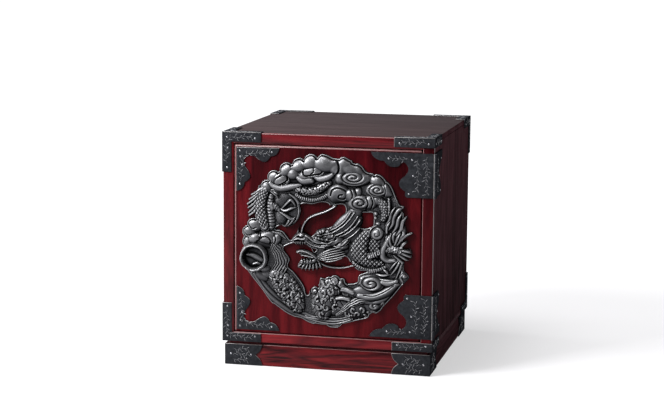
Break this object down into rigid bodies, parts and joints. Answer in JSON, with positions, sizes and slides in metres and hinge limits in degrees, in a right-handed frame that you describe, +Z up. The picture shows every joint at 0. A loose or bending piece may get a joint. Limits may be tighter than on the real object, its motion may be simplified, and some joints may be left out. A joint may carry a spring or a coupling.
{
  "type": "tansu chest",
  "caption": "Small cubic tansu chest: a lacquered board case on a plinth with iron corner fittings, and a red hinged door with a beaten dragon, cloud and wave ring that holds a pull cup.",
  "frame": {"origin": "middle of the whole box's footprint, on the floor", "axes": "+Z up, the door looks towards -Y, its hinges are on the +X side"},
  "size_m": [0.3644, 0.3948, 0.3976],
  "materials": {
    "red_lacquer": "crimson lacquer with dark streaky grain, gloss",
    "dark_lacquer": "brown-black lacquer, gloss",
    "pale_wood": "plain, satin",
    "black_iron": "blackened sheet with engraved sprays",
    "beaten_iron": "gunmetal, rubbed bright on the high places",
    "steel": "plain",
    "catch_black": "matt"
  },
  "bodies": {
    "case": {"back_panel": "pale_wood", "bottom_board": "dark_lacquer", "corner_iron_back_bottom_left": "black_iron", "corner_iron_back_bottom_right": "black_iron", "corner_iron_back_top_left": "black_iron", "corner_iron_back_top_right": "black_iron", "corner_iron_front_bottom_left": "black_iron", "corner_iron_front_bottom_right": "black_iron", "corner_iron_front_top_left": "black_iron", "corner_iron_front_top_right": "black_iron", "front_bottom_rail": "red_lacquer", "front_left_stile": "red_lacquer", "front_right_stile": "red_lacquer", "front_top_rail": "red_lacquer", "hinge_lower_case_leaf": "black_iron", "hinge_lower_pin": "steel", "hinge_upper_case_leaf": "black_iron", "hinge_upper_pin": "steel", "left_side_board": "dark_lacquer", "magnet_catch": "catch_black", "plinth_back": "dark_lacquer", "plinth_front": "red_lacquer", "plinth_iron_back_left": "black_iron", "plinth_iron_back_right": "black_iron", "plinth_iron_front_left": "black_iron", "plinth_iron_front_right": "black_iron", "plinth_left": "dark_lacquer", "plinth_right": "dark_lacquer", "right_side_board": "dark_lacquer", "shelf": "pale_wood", "shelf_runner_left": "pale_wood", "shelf_runner_right": "pale_wood", "top_board": "dark_lacquer"},
    "door": {"cloud_left": "beaten_iron", "cloud_lower_right": "beaten_iron", "cloud_right": "beaten_iron", "cloud_round": "beaten_iron", "cloud_small": "beaten_iron", "cloud_upper_left": "beaten_iron", "cloud_upper_middle": "beaten_iron", "door_iron_lower_left": "black_iron", "door_iron_upper_left": "black_iron", "door_panel": "red_lacquer", "dragon_body_arch": "beaten_iron", "dragon_body_left": "beaten_iron", "dragon_claw_left": "beaten_iron", "dragon_claw_right": "beaten_iron", "dragon_coil": "beaten_iron", "dragon_flames": "beaten_iron", "dragon_head": "beaten_iron", "dragon_pearl": "beaten_iron", "hinge_lower_door_leaf": "black_iron", "hinge_upper_door_leaf": "black_iron", "pull_cup": "beaten_iron", "ring_plate": "beaten_iron", "strike_plate": "steel", "water_fall": "beaten_iron", "wave_crest": "beaten_iron", "wave_lower_left": "beaten_iron"}
  },
  "joints": [
    {"name": "door_hinge", "type": "hinge", "parent": "case", "child": "door", "pos_m": [0.17915, -0.17995, 0.2175], "axis": [0, 0, 1], "range_deg": [0, 240]}
  ]
}
